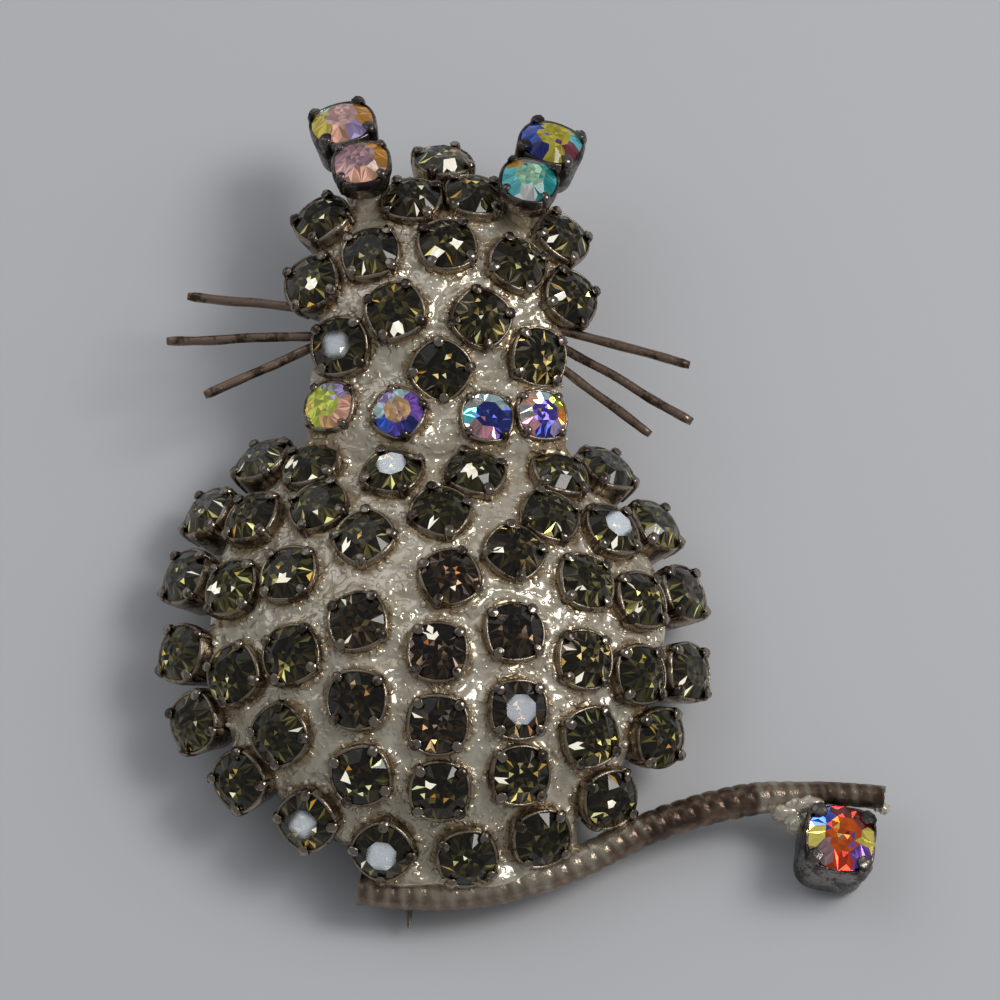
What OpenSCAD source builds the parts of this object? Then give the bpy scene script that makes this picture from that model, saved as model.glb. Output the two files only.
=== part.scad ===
/* [Body] */
// Radius of the dome on which the girdles of the body stones lie
body_dome_r = 18.5; // [18:0.1:19]
// Height of the top of that dome above the table
body_top_z = 9.2; // [9:0.1:10.5]
// Radius of the solder skin of the body, seen from above
body_skin_r = 11.6; // [11.2:0.1:12]

/* [Head] */
// Radius of the dome on which the girdles of the head stones lie
head_dome_r = 13.8; // [13.5:0.1:14.2]
// Height of the top of that dome above the table
head_top_z = 8.2; // [8:0.1:8.6]
// Radius of the solder skin of the head, seen from above
head_skin_r = 6.3; // [6:0.1:6.6]

/* [Stones] */
// Diameter of the smoky stones of the body and head
stone_d = 2.92; // [2.7:0.02:3]
// Diameter of the four collar stones
collar_stone_d = 2.6; // [2.4:0.05:2.7]
// Diameter of the upper stone of each ear
ear_stone_d = 3.3; // [3:0.05:3.4]
// Diameter of the stone at the end of the tail
tail_stone_d = 3.6; // [3.3:0.05:3.7]

/* [Cups and solder] */
// Thickness of a cup's wall at its rim
cup_wall = 0.1; // [0.08:0.01:0.11]
// Space between a stone's girdle and the cup around it
seat_gap = 0.06; // [0.05:0.01:0.08]
// Depth of the solder skin's outer face below the girdles
solder_drop = 0.8; // [0.8:0.05:1]
// Thickness of the solder skin
solder_t = 1.1; // [1:0.05:1.2]

/* [Tail and whiskers] */
// Diameter of a bead of the tail wire
tail_bead_d = 1.72; // [1.66:0.02:1.76]
// Number of beads along the tail wire
tail_beads = 34; // [32:1:34]
// Diameter of a whisker
whisker_d = 0.52; // [0.4:0.02:0.6]

/* [Pin] */
// Diameter of the pin stem
pin_d = 0.8; // [0.6:0.05:0.9]

/* [Hidden] */
$fn = 48;
stone_r = stone_d / 2;
// Middle of each dome
body_mid = [-0.2, 1, body_top_z - body_dome_r];
head_mid = [-0.4, 18.5, head_top_z - head_dome_r];
// Middle and radius of the arch on which the collar's girdles lie
collar_mid = [0.2, 12.3, -8.7];
collar_r = 16;
// Middle of the whole brooch seen from above, which becomes the origin
outline_mid = [4.526, 8.356, 0];

// Body stones, strip after strip from the middle outwards, each [across, up, turn of its prongs]
strip_mid = [
    [0.4, 6.3, 18], [0.9, 2.5, 66], [0.3, -1.5, 42], [0.3, -5.1, 42], [0.4, -8.2, 42], [1.8, -11.1, 57]
];
strip_left_1 = [
    [-2.1, 8.9, 24], [-3.5, 4.9, 87], [-3.8, 0.2, 57], [-3.8, -3.8, 39], [-3.6, -7.4, 60], [-2.5, -10.8, 84]
];
strip_right_1 = [
    [2.2, 8.85, 24], [4.2, 4.1, 9], [4.2, -0.3, 54], [4.4, -4.2, 48], [4.5, -7.3, 48], [5.6, -10, 60]
];
strip_left_2 = [[-5.9, 7.03, 63], [-7.4, 3.2, 39], [-7.2, -1.2, 57], [-7.8, -5.1, 81], [-6.4, -9.2, 81]];
strip_right_2 = [[6.07, 6.52, 24], [7.9, 2.9, 45], [7.8, -1.3, 45], [8.1, -5.1, 66], [9.1, -7.8, 63]];
strip_left_3 = [[-6.34, 9.9, 45], [-9.4, 7, 33], [-10.4, 3, 39], [-10.2, -1.7, 69], [-9.9, -6.9, 81]];
strip_right_3 = [[6.57, 9.41, 48], [9.3, 6.3, 57], [10.77, 2.49, 57], [10.7, -1.5, 54], [11.7, -4.4, 60]];
strip_left_4 = [[-9, 10.9, 24], [-11.8, 8.1, 27], [-12.9, 4.4, 27], [-13, 0.1, 27], [-12.3, -3.6, 66]];
strip_right_4 = [[9.1, 10.4, 66], [11.6, 7.3, 63], [13.03, 3.61, 60], [13.2, -0.7, 51]];
body_spots = concat(
    strip_mid, strip_left_1, strip_right_1, strip_left_2, strip_right_2,
    strip_left_3, strip_right_3, strip_left_4, strip_right_4
);
// Head stones, row after row from the crown down, each [across, up, turn of its prongs]
head_spots = [
    [0.46, 27.06, 66], [-1.14, 24.14, 33], [2.1, 24.55, 45], [-5.92, 23.4, 81], [6.77, 22.65, 15],
    [-3.3, 20.8, 51], [0.7, 21.2, 57], [4.4, 20.4, 21], [-6.4, 19.5, 60], [7.2, 19, 24],
    [-2, 17.4, 66], [2.5, 17.1, 12], [-4.9, 15.77, 51], [5.5, 15.43, 39], [0.4, 14.3, 6]
];
// Collar stones, each [across, up, turn of its prongs]
collar_spots = [[-5.4, 12.8, 36], [-1.8, 12.1, 15], [2.8, 11.9, 42], [5.63, 12.3, 51]];
// Ear stones, each [place, way it faces, turn of its prongs]
ear_low = [
    [[-3.8, 25.6, 8.3], [-0.1, 0.34, 0.935], 48],
    [[4.95, 24.6, 8.3], [0.12, 0.33, 0.935], 33]
];
ear_high = [
    [[-4.83, 28.53, 6.7], [-0.15, 0.47, 0.87], 63],
    [[6.15, 27.4, 6.7], [0.2, 0.46, 0.865], 24]
];
// Tail stone: [place, way it faces, turn of its prongs]
tail_tip = [[20.78, -9.6, 3.3], [0.17, 0.1, 0.98], 38];

// Tail wire: a run of round beads on two arcs in one level plane, bending opposite ways
tail_z = 2.3;
tail_pitch = 0.8;
tail_mid_1 = [-0.27, 6.15];
tail_r_1 = 18.42;
tail_from_1 = -98.2;
tail_turn = 29.7;
tail_long_1 = tail_r_1 * (tail_turn - 90 - tail_from_1) * PI / 180;
tail_r_2 = 22.3;
tail_mid_2 = tail_mid_1 + (tail_r_1 + tail_r_2) * [sin(tail_turn), -cos(tail_turn)];
// Place of a point of the wire, u mm from its left end
function tail_at(u) =
    u < tail_long_1
        ? let (a = tail_from_1 + u / tail_r_1 * 180 / PI)
            [tail_mid_1[0] + tail_r_1 * cos(a), tail_mid_1[1] + tail_r_1 * sin(a), tail_z]
        : let (a = tail_turn + 90 - (u - tail_long_1) / tail_r_2 * 180 / PI)
            [tail_mid_2[0] + tail_r_2 * cos(a), tail_mid_2[1] + tail_r_2 * sin(a), tail_z];

// The wire thins towards its right end: from which bead, by how much of its radius a bead, and for how many
tail_thin = [25, 0.05, 4];
// Burr at the wire's right end
tail_burr = [23.1, -7.7, 2.2];
tail_burr_r = 0.33;

// Rods of solder from the tail wire to the body: [angle on the wire's first arc, height of the far end]
tail_rods = [[-96, 3.3], [-87, 3.3], [-78, 3.3], [-69, 2.75]];
tail_rod_r = 0.45;
tail_rod_in = 16.4;

// Whiskers: [root, tip], both [across, up], at one height under the head's stones
whisker_z = 5.3;
whiskers = [
    [[-5.2, 18.4], [-12.85, 19.3]],
    [[-5.2, 17.05], [-13.9, 16.75]],
    [[-4.7, 17.25], [-11.9, 13.8]],
    [[4.9, 17.9], [13.3, 15.5]],
    [[5.4, 17.25], [13.35, 12.3]],
    [[4.8, 16.8], [11.2, 11.6]]
];

// Claws: how far they reach under and over the girdle
claw_low = 0.7;
claw_high = 0.28;
cup_h = 2.1;
collar_cup_h = 1.9;
low_ear_cup_h = 1.5;
high_ear_cup_h = 2.3;
tail_cup_h = 2.9;
tail_claw_low = 2.5;

// Neck: the front and back edges of the arch, and the sides of the box that holds it
neck_y = [10.1, 14.3];
neck_x = [-6.3, 6.7];
neck_t = 1.7;

// Rods of solder that join the ears to the head, each [start, end]
ear_rod_r = 0.9;
ear_rods = [
    [[-3.65, 25.1, 7], [-3.4, 24.3, 4.6]],
    [[-4.5, 27.5, 5], [-3.4, 24.3, 4.8]],
    [[4.77, 24.1, 7], [4.4, 23.3, 4.6]],
    [[5.7, 26.4, 5], [4.4, 23.3, 4.8]]
];
// Blob of solder between the tail wire and its cup, with the turn that keeps its seam clear of both
tail_blob = [18.7, -7.95, 2.2];
tail_blob_r = 0.8;
tail_blob_turn = 225;

// Pin: its line, its height, the ends of its stem and of the ground point
pin_x = -1.2;
pin_z = 0.9;
pin_from_y = 9.4;
pin_to_y = -11;
pin_point_l = 2.65;
pin_point_r = 0.08;
// Feet of the pin: [half width, lower edge, upper edge], cut off below the solder skin
hinge_foot = [1.4, 8.4, 10.6];
catch_foot = [1, -9.8, -8.4];
foot_drop = 2.25;

// Moves a piece from the charts' frame to the brooch's own
module placed() {
    translate(-outline_mid) children();
}

// Puts what follows at p, its up axis turned to the way n and spun by the angle s
module facing(p, n, s = 0) {
    az = atan2(n[1], n[0]);
    translate(p)
        rotate([0, 0, az])
            rotate([0, acos(n[2] / norm(n)), 0])
                rotate([0, 0, s - az])
                    children();
}

// Puts what follows on a dome of radius r about m, above a spot of the charts
module on_dome(m, r, spot) {
    d = [spot[0] - m[0], spot[1] - m[1]];
    n = [d[0], d[1], sqrt(r * r - d * d)] / r;
    facing(m + r * n, n, spot[2]) children();
}

// Puts what follows on the arch of the collar
module on_collar(spot) {
    a = asin((spot[0] - collar_mid[0]) / collar_r);
    n = [sin(a), 0, cos(a)];
    facing([collar_mid[0], spot[1], collar_mid[2]] + collar_r * n, n, spot[2]) children();
}

// A cut stone: girdle at z = 0, a table and eight crown facets over it, a point under it
module stone(r) {
    t = 0.56 * r;
    zt = 0.32 * r;
    zg = -0.07 * r;
    zp = -0.82 * r;
    top = [for (i = [0:7]) [t * cos(45 * i + 22.5), t * sin(45 * i + 22.5), zt]];
    mid = [for (i = [0:15]) [r * cos(22.5 * i), r * sin(22.5 * i), 0]];
    low = [for (i = [0:15]) [r * cos(22.5 * i), r * sin(22.5 * i), zg]];
    polyhedron(
        points = concat(top, mid, low, [[0, 0, zp]]),
        faces = concat(
            [[7, 6, 5, 4, 3, 2, 1, 0]],
            [for (i = [0:7]) [i, (i + 1) % 8, 8 + (2 * i + 2) % 16]],
            [for (i = [0:7]) [i, 8 + (2 * i + 2) % 16, 8 + 2 * i + 1]],
            [for (i = [0:7]) [i, 8 + 2 * i + 1, 8 + 2 * i]],
            [for (i = [0:15]) [8 + i, 8 + (i + 1) % 16, 24 + (i + 1) % 16, 24 + i]],
            [for (i = [0:15]) [24 + i, 24 + (i + 1) % 16, 40]]
        )
    );
}

// A cup for a stone of radius r, h deep under the girdle, with four claws that start low under it
module cup(r, h, claw_t = 0.26, foot = 0.85, low = claw_low) {
    b = r + seat_gap;
    rim = b + cup_wall;
    w = 0.9 * asin(claw_t / r);
    rotate_extrude()
        polygon([
            [0, -h], [foot * rim, -h], [rim, -0.05], [b, -0.05],
            [b, -0.25], [0.25 * r, -0.95 * r], [0, -0.95 * r]
        ]);
    for (a = [0:90:270])
        rotate([0, 0, a - w])
            rotate_extrude(angle = 2 * w)
                polygon([
                    [b + 0.02, -low], [b + claw_t, -low], [b + claw_t, 0.05],
                    [b + 0.7 * claw_t, claw_high], [b + 0.02, claw_high]
                ]);
}

// The room that a cup takes out of the solder around it
module room(r) {
    translate([0, 0, -1.7])
        cylinder(r = 0.87 * r, h = 2.2);
}

// A straight round rod from p to q
module rod(p, q, r) {
    facing(p, q - p, 0) cylinder(r = r, h = norm(q - p));
}

module each_cup() {
    for (s = body_spots) on_dome(body_mid, body_dome_r, s) cup(stone_r, cup_h);
    for (s = head_spots) on_dome(head_mid, head_dome_r, s) cup(stone_r, cup_h);
    for (s = collar_spots) on_collar(s) cup(collar_stone_d / 2, collar_cup_h, 0.22);
    for (e = ear_low) facing(e[0], e[1], e[2]) cup(stone_r, low_ear_cup_h, 0.26, 0.7);
    for (e = ear_high) facing(e[0], e[1], e[2]) cup(ear_stone_d / 2, high_ear_cup_h, 0.45);
    facing(tail_tip[0], tail_tip[1], tail_tip[2]) cup(tail_stone_d / 2, tail_cup_h, 0.5, 1, tail_claw_low);
}

module each_room() {
    for (s = body_spots) on_dome(body_mid, body_dome_r, s) room(stone_r);
    for (s = head_spots) on_dome(head_mid, head_dome_r, s) room(stone_r);
    for (s = collar_spots) on_collar(s) room(collar_stone_d / 2);
}

// A domed skin of solder, hollow under it, with a round outline seen from above
module skin(m, r, spot, outline) {
    difference() {
        intersection() {
            translate(m) sphere(r = r - solder_drop, $fn = 96);
            translate([spot[0], spot[1], 0]) cylinder(r = outline, h = 20, $fn = 96);
        }
        translate(m) sphere(r = r - solder_drop - solder_t, $fn = 96);
    }
}

// The arch under the collar, clear of the two body stones beside it
module neck() {
    difference() {
        intersection() {
            translate([collar_mid[0], neck_y[1], collar_mid[2]])
                rotate([90, 0, 0])
                    difference() {
                        cylinder(r = collar_r - solder_drop, h = neck_y[1] - neck_y[0], $fn = 96);
                        translate([0, 0, -1])
                            cylinder(
                                r = collar_r - solder_drop - neck_t, h = neck_y[1] - neck_y[0] + 2, $fn = 96
                            );
                    }
            translate([neck_x[0], neck_y[0] - 1, 0])
                cube([neck_x[1] - neck_x[0], neck_y[1] - neck_y[0] + 2, 10]);
        }
        for (s = [strip_left_3[0], strip_right_3[0]])
            on_dome(body_mid, body_dome_r, s)
                translate([0, 0, -0.25]) cylinder(r = stone_r + seat_gap + cup_wall / 2, h = 3);
    }
}

module tail() {
    for (i = [0:tail_beads - 1]) {
        here = tail_at(i * tail_pitch);
        way = tail_at(i * tail_pitch + 0.01) - here;
        thinner = tail_thin[1] * min(max(i - tail_thin[0], 0), tail_thin[2]);
        translate(here)
            rotate([0, 90, atan2(way[1], way[0])])
                sphere(r = tail_bead_d / 2 - thinner, $fn = 24);
    }
    translate(tail_burr) sphere(r = tail_burr_r, $fn = 24);
}

module solder() {
    difference() {
        union() {
            skin(body_mid, body_dome_r, [0.1, 1.1], body_skin_r);
            skin(head_mid, head_dome_r, [0.4, 19.6], head_skin_r);
            neck();
        }
        each_room();
    }
}

// Lumps of solder that join the ears to the head and the tail to the body and its cup
module lumps() {
    for (e = ear_rods) rod(e[0], e[1], ear_rod_r);
    for (e = tail_rods) {
        way = [cos(e[0]), sin(e[0]), 0];
        mid = [tail_mid_1[0], tail_mid_1[1], 0];
        rod(mid + tail_r_1 * way + [0, 0, tail_z], mid + tail_rod_in * way + [0, 0, e[1]], tail_rod_r);
    }
    translate(tail_blob) rotate([0, 0, tail_blob_turn]) sphere(r = tail_blob_r, $fn = 24);
}

module frame() {
    color("silver") placed()
        union() {
            solder();
            each_cup();
            lumps();
            for (w = whiskers)
                rod([w[0][0], w[0][1], whisker_z], [w[1][0], w[1][1], whisker_z], whisker_d / 2);
            tail();
        }
}

module body_stones() {
    color("dimgray") placed()
        for (s = body_spots) on_dome(body_mid, body_dome_r, s) stone(stone_r);
}

module head_stones() {
    color("dimgray") placed()
        for (s = head_spots) on_dome(head_mid, head_dome_r, s) stone(stone_r);
}

module collar_stone(i) {
    color("plum") placed() on_collar(collar_spots[i]) stone(collar_stone_d / 2);
}

module collar_stone_1() {
    collar_stone(0);
}

module collar_stone_2() {
    collar_stone(1);
}

module collar_stone_3() {
    collar_stone(2);
}

module collar_stone_4() {
    collar_stone(3);
}

module ear_stone_left_low() {
    color("plum") placed() facing(ear_low[0][0], ear_low[0][1], ear_low[0][2]) stone(stone_r);
}

module ear_stone_left_high() {
    color("gold") placed() facing(ear_high[0][0], ear_high[0][1], ear_high[0][2]) stone(ear_stone_d / 2);
}

module ear_stone_right_low() {
    color("turquoise") placed() facing(ear_low[1][0], ear_low[1][1], ear_low[1][2]) stone(stone_r);
}

module ear_stone_right_high() {
    color("olive") placed() facing(ear_high[1][0], ear_high[1][1], ear_high[1][2]) stone(ear_stone_d / 2);
}

module tail_stone() {
    color("orangered") placed() facing(tail_tip[0], tail_tip[1], tail_tip[2]) stone(tail_stone_d / 2);
}

// A foot of the pin, from the table upwards
module pin_foot(f) {
    translate([pin_x - f[0], f[1], 0]) cube([2 * f[0], f[2] - f[1], 8]);
}

// The pin is one piece: a hinge foot, a closed stem and a catch foot
module pin_back() {
    color("gainsboro") placed()
        union() {
            intersection() {
                union() {
                    pin_foot(hinge_foot);
                    pin_foot(catch_foot);
                }
                translate(body_mid) sphere(r = body_dome_r - foot_drop, $fn = 96);
            }
            translate([pin_x, pin_from_y, pin_z])
                rotate([90, 0, 0])
                    cylinder(r = pin_d / 2, h = pin_from_y - pin_to_y, $fn = 24);
            translate([pin_x, pin_to_y + 0.01, pin_z])
                rotate([90, 0, 0])
                    cylinder(r1 = pin_d / 2, r2 = pin_point_r, h = pin_point_l, $fn = 24);
        }
}

frame();
body_stones();
head_stones();
collar_stone_1();
collar_stone_2();
collar_stone_3();
collar_stone_4();
ear_stone_left_low();
ear_stone_left_high();
ear_stone_right_low();
ear_stone_right_high();
tail_stone();
pin_back();
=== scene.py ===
# %% [markdown]
# # A cat brooch of clawed cups, solder and cut stones
# The real brooch is made from bought parts. Each small stone sits in a stamped cup with four claws.
# The cups are laid on a domed block, solder is run between them, and the sheet is pinned at the back.
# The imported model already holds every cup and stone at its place, so this lesson reads the places
# from it and builds the lumpy, worn and glittering surfaces around them.

import bpy
import numpy as np
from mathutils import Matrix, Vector


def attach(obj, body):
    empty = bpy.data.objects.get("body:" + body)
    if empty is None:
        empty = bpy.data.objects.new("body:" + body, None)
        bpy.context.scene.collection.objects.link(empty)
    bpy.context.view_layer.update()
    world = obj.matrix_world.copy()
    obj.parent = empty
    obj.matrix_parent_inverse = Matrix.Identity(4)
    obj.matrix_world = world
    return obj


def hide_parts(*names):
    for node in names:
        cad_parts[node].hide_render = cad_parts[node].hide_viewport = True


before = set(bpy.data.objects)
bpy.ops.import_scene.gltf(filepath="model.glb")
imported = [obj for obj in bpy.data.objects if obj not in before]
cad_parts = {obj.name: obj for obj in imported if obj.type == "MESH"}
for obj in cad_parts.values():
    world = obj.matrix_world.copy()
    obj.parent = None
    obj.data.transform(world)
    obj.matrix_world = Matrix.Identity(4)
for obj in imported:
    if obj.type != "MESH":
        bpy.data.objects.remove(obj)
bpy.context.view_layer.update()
MM = 0.001

# %% [markdown]
# ## One way to make a mesh
# Every new piece is a set of points worked out as whole arrays, and groups of faces with the same
# number of corners. Blender's ready-made shapes would need an edit for each of the 71 cups, where an
# array holds them all. The mesh is filled straight from the arrays. Lengths are in millimetres here,
# because that is how a jeweller measures, and the mesh takes them in metres.


# %% Mesh helper
def unit(vectors):
    """Vectors divided by their own length."""
    return vectors / np.linalg.norm(vectors, axis=-1, keepdims=True)


def make_piece(name, points, groups, material, smooth=True, paint=None):
    """A mesh object from points in mm and groups of faces with the same number of corners.
    paint maps an attribute's name to its rows, one for each point or one for each face."""
    mesh = bpy.data.meshes.new(name)
    sizes = np.concatenate([np.full(len(g), g.shape[1]) for g in groups])
    corners = np.concatenate([g.ravel() for g in groups])
    mesh.vertices.add(len(points))
    mesh.vertices.foreach_set("co", (points * MM).astype(np.float32).ravel())
    mesh.loops.add(len(corners))
    mesh.loops.foreach_set("vertex_index", corners.astype(np.int32))
    mesh.polygons.add(len(sizes))
    mesh.polygons.foreach_set("loop_start", (np.cumsum(sizes) - sizes).astype(np.int32))
    mesh.polygons.foreach_set("use_smooth", np.full(len(sizes), smooth))
    mesh.update(calc_edges=True)
    for key, rows in (paint or {}).items():
        kind = "FLOAT_COLOR" if rows.shape[1] == 4 else "FLOAT_VECTOR"
        field = "color" if rows.shape[1] == 4 else "vector"
        by_point = len(rows) == len(points)
        layer = mesh.attributes.new(key, kind, "POINT" if by_point else "CORNER")
        rows = rows if by_point else np.repeat(rows, sizes, axis=0)
        layer.data.foreach_set(field, rows.astype(np.float32).ravel())
    mesh.materials.append(material)
    piece = bpy.data.objects.new(name, mesh)
    bpy.context.scene.collection.objects.link(piece)
    print(name, len(sizes), "faces")
    return piece


def grid_faces(rows, cols, close_rows=False, close_cols=False, start=0):
    """The quads of a grid of points, row by row, closed round on itself where asked."""
    i = np.arange(rows if close_rows else rows - 1)[:, None]
    j = np.arange(cols if close_cols else cols - 1)[None, :]
    a, b = i, (i + 1) % rows
    c, d = j, (j + 1) % cols
    quads = np.stack([a * cols + c, b * cols + c, b * cols + d, a * cols + d], -1)
    return quads.reshape(-1, 4) + start


def many(faces, count, step):
    """The same faces for count copies of a shape whose points follow each other, step points a copy."""
    return (faces[None] + step * np.arange(count)[:, None, None]).reshape(-1, faces.shape[1])


def grey(values):
    """Rows of a colour attribute that holds one number for each point."""
    return np.stack([values] * 4, -1)


print("a tube of 3 rings of 4 points has", len(grid_faces(3, 4, close_cols=True)), "quads")

# %% [markdown]
# ## Reading the seats
# A seat is where a stone sits: the middle of its girdle, the way it faces, its radius, and how far
# its claws are turned. They could be typed in again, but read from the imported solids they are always
# right. The first three come from the stone's own corner points. The turn comes from the inner top
# edges of the claws of the metal, which lie just outside the girdle.


# %% Corner points
def corner_points(node):
    """A solid's corner points in mm, each once, and its triangles as numbers of those points."""
    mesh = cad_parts[node].data
    co = np.empty(len(mesh.vertices) * 3)
    mesh.vertices.foreach_get("co", co)
    mesh.calc_loop_triangles()
    tri = np.empty(len(mesh.loop_triangles) * 3, int)
    mesh.loop_triangles.foreach_get("vertices", tri)
    points, number = np.unique((co.reshape(-1, 3) / MM).round(3), axis=0, return_inverse=True)
    return points, number.ravel()[tri].reshape(-1, 3)


def loose_solids(node):
    """The corner points of each loose solid: points take their triangles' lowest label until all agree."""
    points, tri = corner_points(node)
    label = np.arange(len(points))
    while True:
        low = label[tri].min(1)
        new = label.copy()
        for k in range(3):
            np.minimum.at(new, tri[:, k], low)
        if (new == label).all():
            return [points[label == k] for k in np.unique(label)]
        label = new


metal_points = corner_points("frame")[0]
print(len(metal_points), "corner points of metal")

# %% One seat
# The claws' inner top edges: their height over the girdle and their distance outside it, in mm
CLAW_EDGE_UP, CLAW_EDGE_OUT = (0.2, 0.31), (0.04, 0.14)


def seat(points):
    """The middle, two ways across, way up and radius of a stone. Up is the thinnest direction of its
    points, away from its tip. The fourth power of a direction is the same for all four claws, so the
    sum of those powers gives the turn of the ways across."""
    mean = points.mean(0)
    up = np.linalg.svd(points - mean)[2][2]
    high = (points - mean) @ up
    if -high.min() < high.max():
        up, high = -up, -high
    across = points - mean - high[:, None] * up
    far = np.linalg.norm(across, axis=1)
    ring = far > 0.9 * far.max()
    middle = mean + across[ring].mean(0) + high[ring].max() * up
    radius = far.max()
    e1 = unit(np.cross(up, np.array([0.3, 1.0, 0.1])))
    e2 = np.cross(up, e1)
    near = metal_points - middle
    rise, x, y = near @ up, near @ e1, near @ e2
    out = np.hypot(x, y) - radius
    claw = (rise > CLAW_EDGE_UP[0]) & (rise < CLAW_EDGE_UP[1])
    claw = claw & (out > CLAW_EDGE_OUT[0]) & (out < CLAW_EDGE_OUT[1])
    turn = np.angle(((x + 1j * y)[claw] ** 4).sum()) / 4
    e1, e2 = np.cos(turn) * e1 + np.sin(turn) * e2, np.cos(turn) * e2 - np.sin(turn) * e1
    return middle, e1, e2, up, radius


print("the tail's stone has a radius of", seat(corner_points("tail_stone")[0])[4].round(2), "mm")


# %% All seats
class Seats:
    """Arrays of the seats of several stones."""

    def __init__(self, found):
        self.middle, self.e1, self.e2, self.up = (np.array([s[k] for s in found]) for k in range(4))
        self.radius = np.array([s[4] for s in found])
        self.count = len(found)

    def place(self, x, y, z):
        """Points given in each seat's own axes, with arrays whose first index is the seat."""
        spread = (slice(None),) + (None,) * (x.ndim - 1)
        return (
            self.middle[spread]
            + x[..., None] * self.e1[spread]
            + y[..., None] * self.e2[spread]
            + z[..., None] * self.up[spread]
        )


body_seats = Seats([seat(p) for p in loose_solids("body_stones")])
head_seats = Seats([seat(p) for p in loose_solids("head_stones")])
SPECIAL = [
    "collar_stone_1", "collar_stone_2", "collar_stone_3", "collar_stone_4",
    "ear_stone_left_low", "ear_stone_left_high", "ear_stone_right_low", "ear_stone_right_high",
    "tail_stone",
]
special_seats = {name: Seats([seat(loose_solids(name)[0])]) for name in SPECIAL}


def joined(parts):
    """Several sets of seats as one."""
    both = Seats([])
    both.middle, both.e1, both.e2, both.up = (
        np.concatenate([getattr(p, key) for p in parts]) for key in ("middle", "e1", "e2", "up")
    )
    both.radius = np.concatenate([p.radius for p in parts])
    both.count = len(both.radius)
    return both


all_seats = joined([body_seats, head_seats] + [special_seats[n] for n in SPECIAL])
print(body_seats.count, "body seats,", head_seats.count, "head seats,", all_seats.count, "in all")

# %% [markdown]
# ## Shader sums as Python
# A finish is a sum, such as more roughness where dirt lies. Its nodes could be wired up one by one,
# but that hides the sum. So a wrapped socket can be added, multiplied and so on, and each sum becomes
# a Math node.


# %% Wrapped sockets
class Value:
    """A number socket of a material that takes part in Python sums."""

    def __init__(self, graph, socket):
        self.graph, self.socket = graph, socket

    def sum(self, operation, first, second):
        """A Math node on two numbers or sockets."""
        return self.graph.add("ShaderNodeMath", {"operation": operation}, {0: first, 1: second})[0]

    def __add__(self, other):
        return self.sum("ADD", self, other)

    __radd__ = __add__

    def __sub__(self, other):
        return self.sum("SUBTRACT", self, other)

    def __rsub__(self, other):
        return self.sum("SUBTRACT", other, self)

    def __mul__(self, other):
        return self.sum("MULTIPLY", self, other)

    __rmul__ = __mul__

    def between(self, low, high):
        """0 below low, 1 above high, and smooth in between."""
        node = self.graph.add(
            "ShaderNodeMapRange", {"interpolation_type": "SMOOTHSTEP"}, {"Value": self, 1: low, 2: high}
        )
        return node[0]


class Outputs:
    """The outputs of a node, by number or name, as wrapped sockets."""

    def __init__(self, graph, node):
        self.graph, self.node = graph, node

    def __getitem__(self, key):
        return Value(self.graph, self.node.outputs[key])


# %% Material helper
class Graph:
    """A new material with one Principled shader."""

    def __init__(self, name):
        self.material = bpy.data.materials.new(name)
        self.material.use_nodes = True
        self.tree = self.material.node_tree
        self.shader = self.tree.nodes["Principled BSDF"]

    def fill(self, node, inputs):
        """Links or sets a node's inputs."""
        for key, value in inputs.items():
            if isinstance(value, Value):
                self.tree.links.new(value.socket, node.inputs[key])
            else:
                node.inputs[key].default_value = value

    def add(self, kind, settings=None, inputs=None):
        """A node of that kind, with its settings made first and then its inputs' values or links."""
        node = self.tree.nodes.new(kind)
        for key, value in (settings or {}).items():
            setattr(node, key, value)
        self.fill(node, inputs or {})
        return Outputs(self, node)

    def noise(self, size_mm, detail):
        """Cloudy noise with lumps of about that size, read at the object's own places."""
        where = self.add("ShaderNodeTexCoord")["Object"]
        inputs = {"Vector": where, "Scale": 1 / (size_mm * MM), "Detail": detail}
        return self.add("ShaderNodeTexNoise", None, inputs)[0]

    def mix(self, factor, first, second):
        """A colour between two colours."""
        node = self.add("ShaderNodeMix", {"data_type": "RGBA"}, {0: factor, 6: first, 7: second})
        return node[2]

    def bump(self, height, depth_mm):
        """The normal of a surface raised by height times that depth."""
        inputs = {"Height": height, "Distance": depth_mm * MM, "Strength": 1.0}
        return self.add("ShaderNodeBump", None, inputs)[0]

    def finish(self, **inputs):
        """The material, once its shader's inputs are linked or set. An input's spaces are written _ here."""
        self.fill(self.shader, {key.replace("_", " "): value for key, value in inputs.items()})
        return self.material


# %% [markdown]
# ## Metal finishes
# Solder is bright where it flowed and dull or brown where flux stayed on it. The stamped cups are a
# little pinker, and the tail wire and whiskers have gone brown. A single colour would look like new
# metal. The worn metals share one function and have a row of colours and sizes each: two scales of
# noise shift the colour and the gloss, and a fine bump breaks the shine.


# %% Metals
def metal(name, clean, stain, stain_from, rough, rough_spread, bump_mm, bump_size_mm):
    """A worn metal: stain takes over where the cloudy noise is above stain_from."""
    g = Graph(name)
    cloud = g.noise(1.1, 4.0)
    grain = g.noise(0.16, 3.0)
    dirt = (cloud * 0.7 + grain * 0.3).between(stain_from, stain_from + 0.12)
    lumps = g.noise(bump_size_mm, 3.0)
    return g.finish(
        Base_Color=g.mix(dirt, clean + (1.0,), stain + (1.0,)),
        Metallic=1.0,
        Roughness=rough + rough_spread * (grain.between(0.35, 0.7) + dirt * 0.5),
        Normal=g.bump(lumps, bump_mm),
    )


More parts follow.
